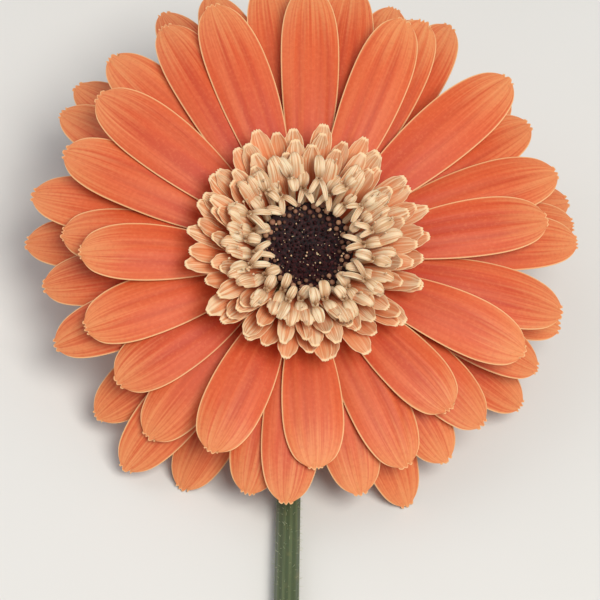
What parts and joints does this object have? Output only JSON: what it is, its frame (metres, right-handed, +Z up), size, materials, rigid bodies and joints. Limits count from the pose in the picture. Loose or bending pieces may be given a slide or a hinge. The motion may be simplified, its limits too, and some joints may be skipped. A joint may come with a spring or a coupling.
{
  "type": "gerbera daisy",
  "caption": "Cut coral-orange gerbera daisy lying with its face up: layered strap petals, salmon and cream florets round a dark eye, green bracts, and a stem bent flat along the surface.",
  "frame": {"origin": "centre of the flower's box at its underside, on the surface that it lies on", "axes": "+Z up away from the surface, which is the way the flower's face looks; +Y from the cut end of the stem to the flower head; +X across"},
  "size_m": [0.1162, 0.2892, 0.0469],
  "materials": {
    "ray_petal": "soft satin petal, fine veins, paler rim",
    "trans_floret": "soft satin salmon petal with cream edges",
    "disc_floret": "matte cream",
    "disc_bud": "matte dark maroon",
    "receptacle": "pale green plant tissue",
    "bract": "matte green, finely hairy",
    "stem": "olive green, ribbed, finely hairy"
  },
  "bodies": {
    "root": {"ray_petal_01": "ray_petal", "ray_petal_02": "ray_petal", "ray_petal_03": "ray_petal", "ray_petal_04": "ray_petal", "ray_petal_05": "ray_petal", "ray_petal_06": "ray_petal", "ray_petal_07": "ray_petal", "ray_petal_08": "ray_petal", "ray_petal_09": "ray_petal", "ray_petal_10": "ray_petal", "ray_petal_11": "ray_petal", "ray_petal_12": "ray_petal", "ray_petal_13": "ray_petal", "ray_petal_14": "ray_petal", "ray_petal_15": "ray_petal", "ray_petal_16": "ray_petal", "ray_petal_17": "ray_petal", "ray_petal_18": "ray_petal", "ray_petal_19": "ray_petal", "ray_petal_20": "ray_petal", "ray_petal_21": "ray_petal", "ray_petal_22": "ray_petal", "ray_petal_23": "ray_petal", "ray_petal_24": "ray_petal", "ray_petal_25": "ray_petal", "ray_petal_26": "ray_petal", "ray_petal_27": "ray_petal", "ray_petal_28": "ray_petal", "ray_petal_29": "ray_petal", "ray_petal_30": "ray_petal", "ray_petal_31": "ray_petal", "ray_petal_32": "ray_petal", "ray_petal_33": "ray_petal", "ray_petal_34": "ray_petal", "ray_petal_35": "ray_petal", "ray_petal_36": "ray_petal", "ray_petal_37": "ray_petal", "ray_petal_38": "ray_petal", "ray_petal_39": "ray_petal", "ray_petal_40": "ray_petal", "ray_petal_41": "ray_petal", "ray_petal_42": "ray_petal", "ray_petal_43": "ray_petal", "ray_petal_44": "ray_petal", "ray_petal_45": "ray_petal", "ray_petal_46": "ray_petal", "ray_petal_47": "ray_petal", "ray_petal_48": "ray_petal", "ray_petal_49": "ray_petal", "ray_petal_50": "ray_petal", "ray_petal_51": "ray_petal", "ray_petal_52": "ray_petal", "trans_florets_outer": "trans_floret", "trans_florets_middle": "trans_floret", "trans_florets_inner": "trans_floret", "disc_florets_open": "disc_floret", "disc_buds": "disc_bud", "receptacle": "receptacle", "involucre_bracts": "bract", "stem": "stem"}
  },
  "joints": []
}
